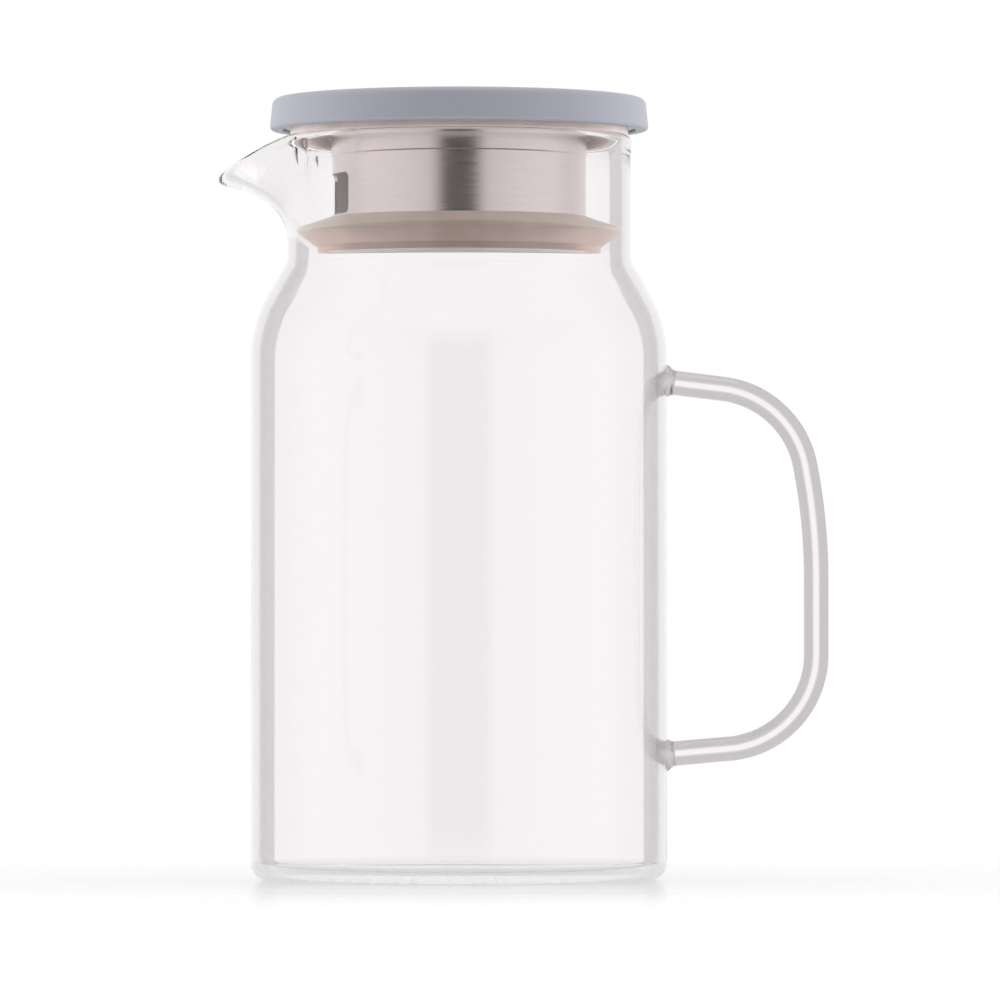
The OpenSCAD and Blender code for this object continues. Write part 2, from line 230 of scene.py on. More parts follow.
shares = [i / NECK_STEPS for i in range(NECK_STEPS + 1)]
neck_outside = [
    (MID_R + GLASS_WALL / 2 + RIM_BEAD * bead_swell(t), SPOUT_Z + PLAIN_H * t) for t in shares
]
neck_inside = [(MID_R - GLASS_WALL / 2, SPOUT_Z + PLAIN_H * t) for t in reversed(shares)]
rim = arc(MID_R + RIM_BEAD / 2, SPOUT_Z + PLAIN_H, PLAIN_ROUND_R, 0, 180, RIM_STEPS)[1:-1]
body_outline = [
    *wall_below_neck(0, 0),
    *neck_outside,
    *rim,
    *neck_inside,
    *reversed(wall_below_neck(GLASS_WALL, FLOOR_T)),
]
BODY_TURN_STEPS = 256
SPOUT_SECTOR = (60, 120)
PLAIN_SECTOR = (150, 104)
blown_body = turned(
    "blown_body", body_outline, closed=False, sectors=(PLAIN_SECTOR, SPOUT_SECTOR, PLAIN_SECTOR)
)

# %% [markdown]
# ## The pulled spout
# A glass blower pulls the spout out of the hot rim with one stroke, so the wall keeps its
# thickness while the rim drifts outwards and droops. The same stroke is done here: every point of
# the neck's wall keeps its share of the height and its distance from the middle of the wall, and
# the middle itself is bent along a Bezier curve that reaches further the nearer it is to the
# spout's centre line. Sculpting by hand could look as good, but it wouldn't match the solid model.

# %% Pull the spout out of the neck
SPOUT_REACH = 19.5 * MM
SPOUT_DROP = 10 * MM
SPOUT_ANGLE = 28
SPOUT_TAPER = 2.2
TIP_BEAD = 1 * MM
THROAT_SHARE = 0.62
LIP_SHARE = 0.55
LIP_RISE_SHARE = 0.22
DROOP_START_SHARE = 0.94
DROOP_START_R = NECK_R * DROOP_START_SHARE
DROOP_POWER = 1.35
TIP_ROUND_R = (GLASS_WALL + TIP_BEAD) / 2
TIP_R = NECK_R + SPOUT_REACH - TIP_ROUND_R - HAIR


def reach_share(angle):
    """How much of the spout's reach the rim has at an angle in degrees from its centre line."""
    if abs(angle) >= SPOUT_ANGLE:
        return 0
    return math.cos(math.radians(90 * angle / SPOUT_ANGLE)) ** SPOUT_TAPER


def droop(angle, rim_r):
    """How far the rim hangs down where the spout carries it outwards."""
    out = rim_r * math.cos(math.radians(angle)) - DROOP_START_R
    return SPOUT_DROP * (out / (TIP_R - DROOP_START_R)) ** DROOP_POWER if out > 0 else 0


def bezier(points, t):
    """A point on a curve of four points, and the direction in which the curve runs there."""
    a, b, c, d = points
    u = 1 - t
    place = a * u**3 + b * 3 * t * u**2 + c * 3 * t**2 * u + d * t**3
    way = (b - a) * u**2 + (c - b) * 2 * t * u + (d - c) * t**2
    return place, way.normalized()


def pulled(point):
    """Where a point of the plain neck goes when the spout is pulled."""
    angle = math.degrees(math.atan2(point.y, -point.x))
    share = reach_share(angle)
    if point.z <= SPOUT_Z or share == 0:
        return point
    bead = RIM_BEAD + (TIP_BEAD - RIM_BEAD) * share
    round_r = (GLASS_WALL + bead) / 2
    reach = (TIP_R - MID_R) * share
    height = RIM_Z - round_r - droop(angle, MID_R + reach) - SPOUT_Z
    middle = [
        Vector((MID_R, SPOUT_Z)),
        Vector((MID_R, SPOUT_Z + THROAT_SHARE * height)),
        Vector((MID_R + (1 - LIP_SHARE) * reach, SPOUT_Z + (1 - LIP_RISE_SHARE) * height)),
        Vector((MID_R + reach, SPOUT_Z + height)),
    ]
    radius = math.hypot(point.x, point.y)
    t = (point.z - SPOUT_Z) / PLAIN_H
    place, way = bezier(middle, min(t, 1))
    outward = Vector((way.y, -way.x))
    if t <= 1:
        off_middle = radius - MID_R
        if off_middle > 0:
            off_middle += (bead - RIM_BEAD) * bead_swell(t)
        place += outward * off_middle
    else:
        growth = round_r / PLAIN_ROUND_R
        place += outward * (bead / 2 + (radius - MID_R - RIM_BEAD / 2) * growth)
        place += way * ((point.z - SPOUT_Z - PLAIN_H) * growth)
    turn = math.radians(angle)
    return Vector((-place.x * math.cos(turn), place.x * math.sin(turn), place.y))


for vertex in blown_body.data.vertices:
    vertex.co = pulled(vertex.co)
blown_body.data.update()
print("spout's tip at x =", round(min(v.co.x for v in blown_body.data.vertices) / MM, 2), "mm")

# %% [markdown]
# ## The rod handle
# The handle is a glass rod, bent while hot and fused to the body at both ends, where it spreads a
# little. A circle is carried along the way of the rod: extruded where the rod is straight and spun
# about a bend's centre where it curves. A curve with a round bevel would give the same tube, but
# spinning keeps each bend's true radius and centre.

# %% Bend the rod
ROD_R = 3.5 * MM
FOOT_R = 4.8 * MM
FOOT_L = 2.4 * MM
FOOT_STEPS = 6
HANDLE_REACH = HANDLE_END_X - ROD_R
HANDLE_TOP_Z = 141.3 * MM
TOP_ARM_SLOPE = 7
BOTTOM_ARM_SLOPE = 5
TOP_BEND_SHARE = 0.638
TOP_BEND_R = TOP_BEND_SHARE * (HANDLE_REACH - BODY_R)
GRIP_CURVE_R = 170 * MM
GRIP_CURVE_ANGLE = 11
GRIP_STRAIGHT = 21.2 * MM
BOTTOM_BEND_SHARE = 0.636
BOTTOM_BEND_R = BOTTOM_BEND_SHARE * (HANDLE_REACH - BODY_R)
ROD_SIDES = 48
BEND_STEPS = 30
GRIP_STEPS = 12


def at_angle(angle):
    """A unit vector in the plane of the handle, at an angle in degrees above +X."""
    return Vector((math.cos(math.radians(angle)), 0, math.sin(math.radians(angle))))


grip_centre_x = HANDLE_REACH - GRIP_CURVE_R
top_bend_x = grip_centre_x + (GRIP_CURVE_R - TOP_BEND_R) * math.cos(math.radians(GRIP_CURVE_ANGLE))
top_arm_x = top_bend_x + TOP_BEND_R * math.sin(math.radians(TOP_ARM_SLOPE))
top_arm_drop = (top_arm_x - BODY_R) * math.tan(math.radians(TOP_ARM_SLOPE))
top_bend_z = HANDLE_TOP_Z - top_arm_drop - TOP_BEND_R * math.cos(math.radians(TOP_ARM_SLOPE))
grip_centre_z = top_bend_z - (GRIP_CURVE_R - TOP_BEND_R) * math.sin(math.radians(GRIP_CURVE_ANGLE))
bottom_bend_x = HANDLE_REACH - BOTTOM_BEND_R
bottom_arm_x = bottom_bend_x + BOTTOM_BEND_R * math.sin(math.radians(BOTTOM_ARM_SLOPE))
bottom_arm_rise = (bottom_arm_x - BODY_R) * math.tan(math.radians(BOTTOM_ARM_SLOPE))
bottom_bend_z = grip_centre_z - GRIP_STRAIGHT
HANDLE_BOTTOM_Z = (
    bottom_bend_z - bottom_arm_rise - BOTTOM_BEND_R * math.cos(math.radians(BOTTOM_ARM_SLOPE))
)


def foot_r_at(distance):
    """The rod's radius at a distance from the body, where it spreads into its foot."""
    return ROD_R + (FOOT_R - ROD_R) * (1 - min(max(distance, 0) / FOOT_L, 1)) ** 2


def extrude_ring(centre, step, growth=1):
    """Carries the selected ring along by a step, scales it, and gives its new centre."""
    bpy.ops.mesh.extrude_region_move(TRANSFORM_OT_translate={"value": step})
    centre = centre + step
    bpy.ops.transform.resize(value=(growth, growth, growth), center_override=centre)
    return centre


def spin_ring(centre_x, centre_z, angle, steps):
    """Carries the selected ring round a bend's centre, from the top arm towards the bottom one."""
    bpy.ops.mesh.spin(
        steps=steps, angle=math.radians(-angle), center=(centre_x, 0, centre_z), axis=(0, 1, 0)
    )


foot_places = [-GLASS_WALL, 0] + [FOOT_L * (i + 1) / FOOT_STEPS for i in range(FOOT_STEPS)]
top_way = at_angle(-TOP_ARM_SLOPE)
centre = Vector((BODY_R, 0, HANDLE_TOP_Z)) + top_way * foot_places[0]
bpy.ops.object.select_all(action="DESELECT")
bpy.ops.mesh.primitive_circle_add(
    vertices=ROD_SIDES,
    radius=foot_r_at(foot_places[0]),
    location=centre,
    rotation=(0, math.radians(90 + TOP_ARM_SLOPE), 0),
)
rod_handle = bpy.context.object
rod_handle.name = rod_handle.data.name = "rod_handle"
bpy.ops.object.transform_apply(location=True, rotation=True, scale=True)
bpy.ops.object.mode_set(mode="EDIT")
bpy.ops.mesh.select_all(action="SELECT")
for before, after in zip(foot_places, foot_places[1:]):
    growth = foot_r_at(after) / foot_r_at(before)
    centre = extrude_ring(centre, top_way * (after - before), growth)
top_bend_start = Vector((top_bend_x, 0, top_bend_z)) + at_angle(90 - TOP_ARM_SLOPE) * TOP_BEND_R
extrude_ring(centre, top_bend_start - centre)
spin_ring(top_bend_x, top_bend_z, 90 - TOP_ARM_SLOPE - GRIP_CURVE_ANGLE, BEND_STEPS)
spin_ring(grip_centre_x, grip_centre_z, GRIP_CURVE_ANGLE, GRIP_STEPS)
centre = Vector((HANDLE_REACH, 0, grip_centre_z))
extrude_ring(centre, Vector((0, 0, -GRIP_STRAIGHT)))
spin_ring(bottom_bend_x, bottom_bend_z, 90 - BOTTOM_ARM_SLOPE, BEND_STEPS)
bottom_way = at_angle(180 + BOTTOM_ARM_SLOPE)
centre = Vector((bottom_bend_x, 0, bottom_bend_z))
centre += at_angle(BOTTOM_ARM_SLOPE - 90) * BOTTOM_BEND_R
foot_start = Vector((BODY_R, 0, HANDLE_BOTTOM_Z)) - bottom_way * FOOT_L
centre = extrude_ring(centre, foot_start - centre)
places_back = foot_places[::-1]
for before, after in zip(places_back, places_back[1:]):
    growth = foot_r_at(after) / foot_r_at(before)
    centre = extrude_ring(centre, bottom_way * (before - after), growth)
bpy.ops.mesh.select_all(action="SELECT")
bpy.ops.mesh.fill_holes(sides=ROD_SIDES)
finish_mesh(rod_handle)

# %% [markdown]
# ## Fitting the feet to the body
# The feet still end as flat discs inside the body's wall. A Boolean modifier cuts them with a
# cylinder as wide as the body, so they end in the body's own curve. A hair's breadth of room keeps
# the two glass faces apart, because two faces in one place flicker in a render.

# %% Cut the handle's feet to the body's curve


def cut_away(piece, cutter):
    """Takes the cutter's volume out of the piece and deletes the cutter."""
    bpy.ops.object.select_all(action="DESELECT")
    bpy.context.view_layer.objects.active = piece
    piece.select_set(True)
    cut = piece.modifiers.new("cut", "BOOLEAN")
    cut.operation = "DIFFERENCE"
    cut.solver = "EXACT"
    cut.object = cutter
    bpy.ops.object.modifier_apply(modifier=cut.name)
    bpy.data.objects.remove(cutter)
    return finish_mesh(piece)


bpy.ops.object.select_all(action="DESELECT")
bpy.ops.mesh.primitive_cylinder_add(
    vertices=BODY_TURN_STEPS, radius=BODY_R + HAIR, depth=SIDE_TOP_Z + FOOT_R * 2,
    location=(0, 0, SIDE_TOP_Z / 2),
)
cut_away(rod_handle, bpy.context.object)

# %% [markdown]
# ## The lid's round pieces
# Cap, liner, drum, seal and gasket are turned as the body was. What makes them look moulded or
# pressed is their edges: no real edge is sharp, so each outline turns its corners with small arcs.

# %% Turn the seal and the gasket
DRUM_R = 36 * MM
TURN_GAP = 0.2 * MM
CURL_W = 1.3 * MM
CURL_H = 1 * MM
SKIRT_R = 40.2 * MM
SKIRT_H = 2 * MM
LIP_H = 6.4 * MM
LIP_TIP_R = 0.8 * MM
LIP_SHOULDER_W = 1.6 * MM
LIP_SHOULDER_H = 1.5 * MM
SEAL_EDGE_R = 0.35 * MM
EDGE_STEPS = 4

curl_top_z = DRUM_Z + CURL_H + TURN_GAP
curl_room_r = DRUM_R + CURL_W + TURN_GAP
seal_outline = [
    (DRUM_R + TURN_GAP, SEAL_TOP_Z),
    (DRUM_R + TURN_GAP, curl_top_z),
    (curl_room_r, curl_top_z),
    (curl_room_r, SEAL_Z),
    *arc(SKIRT_R - SEAL_EDGE_R, SEAL_Z + SEAL_EDGE_R, SEAL_EDGE_R, -90, 0, EDGE_STEPS),
    (SKIRT_R, SEAL_Z + SKIRT_H),
    *arc(LIP_R - LIP_TIP_R, SEAL_Z + LIP_H, LIP_TIP_R, -45, 45, EDGE_STEPS),
    (LIP_R - LIP_SHOULDER_W, SEAL_Z + LIP_H + LIP_SHOULDER_H),
]
neck_seal = turned("neck_seal", seal_outline)

GASKET_W = 3.8 * MM
GASKET_EDGE_R = 0.6 * MM
gasket_top_z = top_of("rim_gasket")


def soft_ring(inner_r, outer_r, low_z, high_z, edge_r):
    """The section of a flat ring whose four edges are rounded."""
    corners = [
        (outer_r - edge_r, low_z + edge_r, -90),
        (outer_r - edge_r, high_z - edge_r, 0),
        (inner_r + edge_r, high_z - edge_r, 90),
        (inner_r + edge_r, low_z + edge_r, 180),
    ]
    return [p for r, z, a in corners for p in arc(r, z, edge_r, a, a + 90, EDGE_STEPS)]


gasket_ring = turned(
    "gasket_ring",
    soft_ring(GASKET_R - GASKET_W, GASKET_R, GASKET_Z, gasket_top_z, GASKET_EDGE_R),
)

# %% [markdown]
# ## The drum
# The drum is drawn from thin sheet steel. A collar a little wider than the drum stiffens its upper
# end, a flange clamps it under the liner, and its foot is curled outwards. The liquid leaves it
# through one window with round corners, which a Boolean modifier cuts with a rounded block. In the
# picture the lid is turned a little, so the window looks past the spout towards the camera.

# %% Turn the drum and cut its window
STEEL_T = 0.8 * MM
COLLAR_H = 7.9 * MM
COLLAR_STEP = 0.4 * MM
FLANGE_W = 7.6 * MM
WINDOW_W = 24.5 * MM
WINDOW_TURN = 11.4
WINDOW_H = 11.6 * MM
WINDOW_CORNER_R = 2 * MM
WINDOW_CORNER_STEPS = 10
WINDOW_SILL = 0.4 * MM
CURL_EDGE_R = 0.3 * MM
drum_bore_r = DRUM_R - STEEL_T
collar_z = DRUM_TOP_Z - COLLAR_H
drum_outline = [
    (drum_bore_r, DRUM_Z),
    *arc(DRUM_R + CURL_W - CURL_EDGE_R, DRUM_Z + CURL_EDGE_R, CURL_EDGE_R, -90, 0, EDGE_STEPS),
    *arc(DRUM_R + CURL_W - CURL_EDGE_R, DRUM_Z + CURL_H - CURL_EDGE_R, CURL_EDGE_R, 0, 90,
         EDGE_STEPS),
    (DRUM_R, DRUM_Z + CURL_H),
    (DRUM_R, collar_z),
    (DRUM_R + COLLAR_STEP, collar_z + COLLAR_STEP),
    (DRUM_R + COLLAR_STEP, DRUM_TOP_Z - STEEL_T),
    (DRUM_R + FLANGE_W, DRUM_TOP_Z - STEEL_T),
    (DRUM_R + FLANGE_W, DRUM_TOP_Z),
    (drum_bore_r, DRUM_TOP_Z),
]
pouring_drum = turned("pouring_drum", drum_outline)

window_z = SEAL_TOP_Z + WINDOW_SILL + WINDOW_H / 2
bpy.ops.object.select_all(action="DESELECT")
bpy.ops.mesh.primitive_cube_add(size=1, location=(-DRUM_R, 0, window_z))
window_block = bpy.context.object
window_block.scale = (DRUM_R, WINDOW_W, WINDOW_H)
bpy.ops.object.transform_apply(location=True, rotation=True, scale=True)
bpy.ops.object.mode_set(mode="EDIT")
mesh = bmesh.from_edit_mesh(window_block.data)
for edge in mesh.edges:
    along = edge.verts[0].co - edge.verts[1].co
    edge.select_set(abs(along.x) > DRUM_R / 2)
bmesh.update_edit_mesh(window_block.data)
bpy.ops.mesh.bevel(offset=WINDOW_CORNER_R, segments=WINDOW_CORNER_STEPS, affect="EDGES")
bpy.ops.object.mode_set(mode="OBJECT")
window_block.data.transform(Matrix.Rotation(math.radians(WINDOW_TURN), 4, "Z"))
cut_away(pouring_drum, window_block)

# %% [markdown]
# ## Liner and cap
# The liner is a flat plate with a short ring on which the drum is pressed. It snaps into the cap
# from below. The cap is a shallow moulded cup: its side leans in a little so that it leaves the
# mould, its top edge is well rounded, and ribs inside keep its top flat.

# %% Turn the liner and the cap's shell
RIB_T = 1.2 * MM
HUB_R = 10 * MM
SPIGOT_H = 5 * MM
SPIGOT_T = 1.8 * MM
PRESS_GAP = 0.05 * MM
spigot_r = drum_bore_r - PRESS_GAP
liner_outline = [
    (0, DRUM_TOP_Z),
    (spigot_r - SPIGOT_T, DRUM_TOP_Z),
    (spigot_r - SPIGOT_T, DRUM_TOP_Z - SPIGOT_H),
    (spigot_r, DRUM_TOP_Z - SPIGOT_H),
    (spigot_r, DRUM_TOP_Z),
    (LINER_R, DRUM_TOP_Z),
    (LINER_R, LINER_TOP_Z),
    (0, LINER_TOP_Z),
]
liner_plate = turned("liner_plate", liner_outline, closed=False)

CAP_DRAFT = 0.6 * MM
CAP_TOP_EDGE_R = 2.2 * MM
CAP_FOOT_EDGE_R = 1 * MM
CAP_TOP_T = 2.2 * MM
CAP_WALL = 2.3 * MM
SNAP_LIP = 1.2 * MM
CAP_EDGE_STEPS = 12
cap_bore_r = CAP_R - CAP_WALL
ceiling_z = CAP_TOP_Z - CAP_TOP_T
rib_foot_z = LINER_TOP_Z + HAIR
cap_outline = [
    (0, ceiling_z),
    (HUB_R - RIB_T, ceiling_z),
    (HUB_R - RIB_T, rib_foot_z),
    (HUB_R, rib_foot_z),
    (HUB_R, ceiling_z),
    (cap_bore_r, ceiling_z),
    (cap_bore_r, DRUM_TOP_Z),
    (cap_bore_r - SNAP_LIP, DRUM_TOP_Z),
    (cap_bore_r - SNAP_LIP, CAP_Z),
    *arc(CAP_R - CAP_FOOT_EDGE_R, CAP_Z + CAP_FOOT_EDGE_R, CAP_FOOT_EDGE_R, -90, 0, CAP_EDGE_STEPS),
    *arc(CAP_R - CAP_DRAFT - CAP_TOP_EDGE_R, CAP_TOP_Z - CAP_TOP_EDGE_R, CAP_TOP_EDGE_R, 0, 90,
         CAP_EDGE_STEPS),
    (0, CAP_TOP_Z),
]
moulded_cap = turned("moulded_cap", cap_outline, closed=False)

# %% Add the ribs under the cap's top
RIB_COUNT = 8
rib_h = ceiling_z - rib_foot_z
bpy.ops.object.select_all(action="DESELECT")
for i in range(RIB_COUNT):
    bpy.ops.mesh.primitive_cube_add(size=1)
    rib = bpy.context.object
    rib.scale = (cap_bore_r - HUB_R + RIB_T, RIB_T, rib_h)
    rib.location = ((cap_bore_r + HUB_R) / 2, 0, ceiling_z + RIB_T / 2 - rib_h / 2)
    bpy.ops.object.transform_apply(location=True, rotation=True, scale=True)
    rib.data.transform(Matrix.Rotation(math.tau * i / RIB_COUNT, 4, "Z"))
    joined = moulded_cap.modifiers.new("rib", "BOOLEAN")
    joined.operation = "UNION"
    joined.solver = "EXACT"
    joined.object = rib
    bpy.ops.object.select_all(action="DESELECT")
    bpy.context.view_layer.objects.active = moulded_cap
    bpy.ops.object.modifier_apply(modifier=joined.name)
    bpy.data.objects.remove(rib)
moulded_cap.select_set(True)
finish_mesh(moulded_cap)

# %% [markdown]
# ## Hanging the pieces on the frame
# Each smooth piece stands for one solid of the frame and rides on the body that carries it. The
# material slot that its finish belongs to is listed beside it, but nothing reads it.

# %% Ride and replace; the slots are only listed
PIECES = [
    (blown_body, "glass_body", "pitcher", "clear_glass"),
    (rod_handle, "glass_handle", "pitcher", "clear_glass"),
    (neck_seal, "seal_ring", "seal", "silicone"),
    (pouring_drum, "steel_drum", "lid", "brushed_steel"),
    (gasket_ring, "rim_gasket", "lid", "silicone"),
    (liner_plate, "cap_liner", "lid", "pale_plastic"),
    (moulded_cap, "lid_cap", "lid", "grey_plastic"),
]
for piece, node, body, slot in PIECES:
    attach(piece, body)
    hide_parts(node)
print(len(PIECES), "pieces ride on", sorted({body for _, _, body, _ in PIECES}))

# %% [markdown]
# ## Finishes
# A finish is a small tree of nodes that ends in a Principled shader. Patterns read Object
# coordinates, which are metres here, so a scale of 1000 gives features of about a millimetre.

# %% Helpers that build a finish
NOISE_LOW = 0.3
NOISE_HIGH = 0.7
RANGE_SOCKETS = ("From Min", "From Max", "To Min", "To Max")


def new_finish(name, **settings):
    """A material with one Principled shader, its sockets set by name, and its nodes and links."""
    finish = bpy.data.materials.new(name)
    finish.use_nodes = True
    shader = finish.node_tree.nodes["Principled BSDF"]
    for socket, value in settings.items():
        shader.inputs[socket.replace("_", " ").title().replace("Ior", "IOR")].default_value = value
    return finish, shader


def add(finish, kind, **settings):
    """A new node with its properties set by name."""
    node = finish.node_tree.nodes.new("ShaderNode" + kind)
    for name, value in settings.items():
        setattr(node, name, value)
    return node


def join(finish, source, target):
    finish.node_tree.links.new(source, target)


def set_range(node, *numbers):
    """Gives a Map Range node the range that it reads and, with four numbers, the one it makes."""
    for socket, number in zip(RANGE_SOCKETS, numbers):
        node.inputs[socket].default_value = number


def object_noise(finish, scale, stretch=(1, 1, 1), detail=2):
    """Noise on the piece's own coordinates, stretched along an axis by a small factor there."""
    coordinates = add(finish, "TexCoord")
    mapping = add(finish, "Mapping")
    mapping.inputs["Scale"].default_value = stretch
    noise = add(finish, "TexNoise")
    noise.inputs["Scale"].default_value = scale
    noise.inputs["Detail"].default_value = detail
    join(finish, coordinates.outputs["Object"], mapping.inputs["Vector"])
    join(finish, mapping.outputs["Vector"], noise.inputs["Vector"])
    return noise.outputs["Fac"]


def remap(finish, source, low, high):
    """The values between which noise mostly lies, spread from low to high."""
    spread = add(finish, "MapRange")
    set_range(spread, NOISE_LOW, NOISE_HIGH, low, high)
    join(finish, source, spread.inputs["Value"])
    return spread.outputs["Result"]


def tint(finish, source, dark, light):
    """A colour between two, by the values between which noise mostly lies."""
    ramp = add(finish, "ValToRGB")
    ramp.color_ramp.elements[0].position = NOISE_LOW
    ramp.color_ramp.elements[1].position = NOISE_HIGH
    ramp.color_ramp.elements[0].color = (*dark, 1)
    ramp.color_ramp.elements[1].color = (*light, 1)
    join(finish, source, ramp.inputs["Fac"])
    return ramp.outputs["Color"]


def bump(finish, source, shader, height):
    """Bump of a real height in metres on a Principled shader."""
    node = add(finish, "Bump")
    node.inputs["Strength"].default_value = 1
    node.inputs["Distance"].default_value = height
    join(finish, source, node.inputs["Height"])
    join(finish, node.outputs["Normal"], shader.inputs["Normal"])


# %% [markdown]
# ## Clear glass
# Blown glass is never quite even, so a faint, wide bump bends what is seen through it. The neck's
# glass looks an even grey where it is seen edge on, perhaps because it shows something darker
# beside the white backdrop there. That grey is painted here: a painted shade in the glass's colour
# that sets in at a steep view, from every side, and is stronger on the wall's inner side. The spout
# is left clear.
# Light that casts shadows or bounces off dull surfaces goes straight through, a little dimmed, by a
# mix with a Transparent shader: bending it too would cost many samples for hardly any change.

# %% Make the glass
GLASS_IOR = 1.47
GLASS_SHADOW = (0.93, 0.94, 0.94, 1)
CLEAR_TINT = (0.966, 0.953, 0.959)
SPOUT_CLEAR_X = (-44 * MM, -38 * MM)
SPOUT_CLEAR_H = 8 * MM


def make_glass(name, waves, painted_edge_shade, edge):
    """Clear glass whose colour turns to a painted edge shade between two steepnesses, except on the
    spout.
    """
    glass, shader = new_finish(name, roughness=0, transmission_weight=1, ior=GLASS_IOR)
    scale, stretch, wave_height = waves
    bump(glass, object_noise(glass, scale, stretch, detail=1), shader, wave_height)
    steepness = add(glass, "LayerWeight")
    place = add(glass, "TexCoord")
    axes = add(glass, "SeparateXYZ")
    below_spout = add(glass, "MapRange")
    beside_spout = add(glass, "MapRange")
    off_spout = add(glass, "Math", operation="MAXIMUM")
    painted_shade_share = add(glass, "Math", operation="MULTIPLY")
    set_range(below_spout, SPOUT_Z + SPOUT_CLEAR_H, SPOUT_Z)
    set_range(beside_spout, *SPOUT_CLEAR_X)
    join(glass, place.outputs["Object"], axes.inputs["Vector"])
    join(glass, axes.outputs["Z"], below_spout.inputs["Value"])
    join(glass, axes.outputs["X"], beside_spout.inputs["Value"])
    join(glass, below_spout.outputs["Result"], off_spout.inputs[0])
    join(glass, beside_spout.outputs["Result"], off_spout.inputs[1])
    join(glass, steepness.outputs["Facing"], painted_shade_share.inputs[0])
    join(glass, off_spout.outputs["Value"], painted_shade_share.inputs[1])
    # Painted shade: the glass's colour turns grey at a steep view, for darker surroundings seen in
    # it.
    ramp = add(glass, "ValToRGB")
    ramp.color_ramp.interpolation = "EASE"
    ramp.color_ramp.elements[0].position = edge[0]
    ramp.color_ramp.elements[1].position = edge[1]
    ramp.color_ramp.elements[0].color = (*CLEAR_TINT, 1)
    ramp.color_ramp.elements[1].color = (*painted_edge_shade, 1)
    join(glass, painted_shade_share.outputs["Value"], ramp.inputs["Fac"])
    join(glass, ramp.outputs["Color"], shader.inputs["Base Color"])
    path = add(glass, "LightPath")
    either = add(glass, "Math", operation="MAXIMUM")
    clear = add(glass, "BsdfTransparent")
    clear.inputs["Color"].default_value = GLASS_SHADOW
    mix = add(glass, "MixShader")
    join(glass, path.outputs["Is Shadow Ray"], either.inputs[0])
    join(glass, path.outputs["Is Diffuse Ray"], either.inputs[1])
    join(glass, either.outputs["Value"], mix.inputs["Fac"])
    join(glass, shader.outputs["BSDF"], mix.inputs[1])
    join(glass, clear.outputs["BSDF"], mix.inputs[2])
    join(glass, mix.outputs["Shader"], glass.node_tree.nodes["Material Output"].inputs["Surface"])
    return glass


BODY_WAVES = (28, (1, 1, 0.5), 0.04 * MM)
ROD_WAVES = (60, (1, 1, 0.6), 0.03 * MM)
# Painted edge shades, greys painted into the glass's colour. On the rod, nearly all is painted
# grey.
OUTER_PAINTED_EDGE_SHADE = (0.71, 0.68, 0.685)
INNER_PAINTED_EDGE_SHADE = (0.46, 0.43, 0.435)
ROD_PAINTED_EDGE_SHADE = (0.58, 0.55, 0.555)
OUTER_EDGE = (0.56, 0.68)
INNER_EDGE = (0.6, 0.63)
ROD_EDGE = (0.006, 0.035)
body_glass = make_glass("body_glass", BODY_WAVES, OUTER_PAINTED_EDGE_SHADE, OUTER_EDGE)
inner_glass = make_glass("inner_glass", BODY_WAVES, INNER_PAINTED_EDGE_SHADE, INNER_EDGE)
rod_glass = make_glass("rod_glass", ROD_WAVES, ROD_PAINTED_EDGE_SHADE, ROD_EDGE)
print("glass finishes:", body_glass.name, inner_glass.name, rod_glass.name)

# %% [markdown]
# ## Brushed steel
# The drum was brushed while it turned, so its scratches run round it: noise that is stretched flat
# gives thin level bands, for the bump and for a faint change of roughness. The Tangent node turns
# the shader's anisotropic highlight the same way.

# %% Make the steel
steel, steel_shader = new_finish(
    "brushed_drum_steel", base_color=(0.72, 0.66, 0.635, 1), metallic=1, roughness=0.22,
    anisotropic=0.45,
)
SCRATCH_SCALE = 900
SCRATCH_STRETCH = (0.12, 0.12, 6)
SCRATCH_H = 0.0012 * MM
scratches = object_noise(steel, SCRATCH_SCALE, SCRATCH_STRETCH, detail=5)
join(steel, remap(steel, scratches, 0.18, 0.25), steel_shader.inputs["Roughness"])
join(
    steel,
    tint(steel, scratches, (0.72, 0.64, 0.63), (0.76, 0.68, 0.67)),
    steel_shader.inputs["Base Color"],
)
bump(steel, scratches, steel_shader, SCRATCH_H)
around = add(steel, "Tangent", direction_type="RADIAL", axis="Z")
join(steel, around.outputs["Tangent"], steel_shader.inputs["Tangent"])
print(steel.name, "has scratches", round(SCRATCH_H / MM, 4), "mm deep")

# %% [markdown]
# Inside, the drum is left as it was drawn: dull and pale. Its colour is painted darker from near
# its open foot towards the closed top, a painted shade for the light that comes less and less
# there.

# %% Make the drum's inside
BRIGHT_FOOT_H = 6 * MM
# TOP_SHADE is a painted shade, multiplied into the colour towards the closed top.
TOP_SHADE = (0.38, 0.325, 0.325, 1)
SMUDGE_SCALE = 300
SMUDGE_H = 0.005 * MM
inner_steel, inner_shader = new_finish("inner_drum_steel", metallic=0, roughness=0.5)
smudges = object_noise(inner_steel, SMUDGE_SCALE, (1, 1, 0.2), detail=4)
height = add(inner_steel, "SeparateXYZ")
height_place = add(inner_steel, "TexCoord")
darkness = add(inner_steel, "MapRange")
set_range(darkness, DRUM_Z + BRIGHT_FOOT_H, SEAL_TOP_Z)
shade = add(inner_steel, "Mix", data_type="RGBA", blend_type="MULTIPLY")
shade.inputs["B"].default_value = TOP_SHADE
join(inner_steel, height_place.outputs["Object"], height.inputs["Vector"])
join(inner_steel, height.outputs["Z"], darkness.inputs["Value"])
join(inner_steel, darkness.outputs["Result"], shade.inputs["Factor"])
join(
    inner_steel,
    tint(inner_steel, smudges, (0.93, 0.92, 0.91), (0.97, 0.96, 0.95)),
    shade.inputs["A"],
)
join(inner_steel, shade.outputs["Result"], inner_shader.inputs["Base Color"])
join(inner_steel, remap(inner_steel, smudges, 0.44, 0.56), inner_shader.inputs["Roughness"])
bump(inner_steel, smudges, inner_shader, SMUDGE_H)
print(inner_steel.name, "is darkest from", round(SEAL_TOP_Z / MM, 1), "mm up")
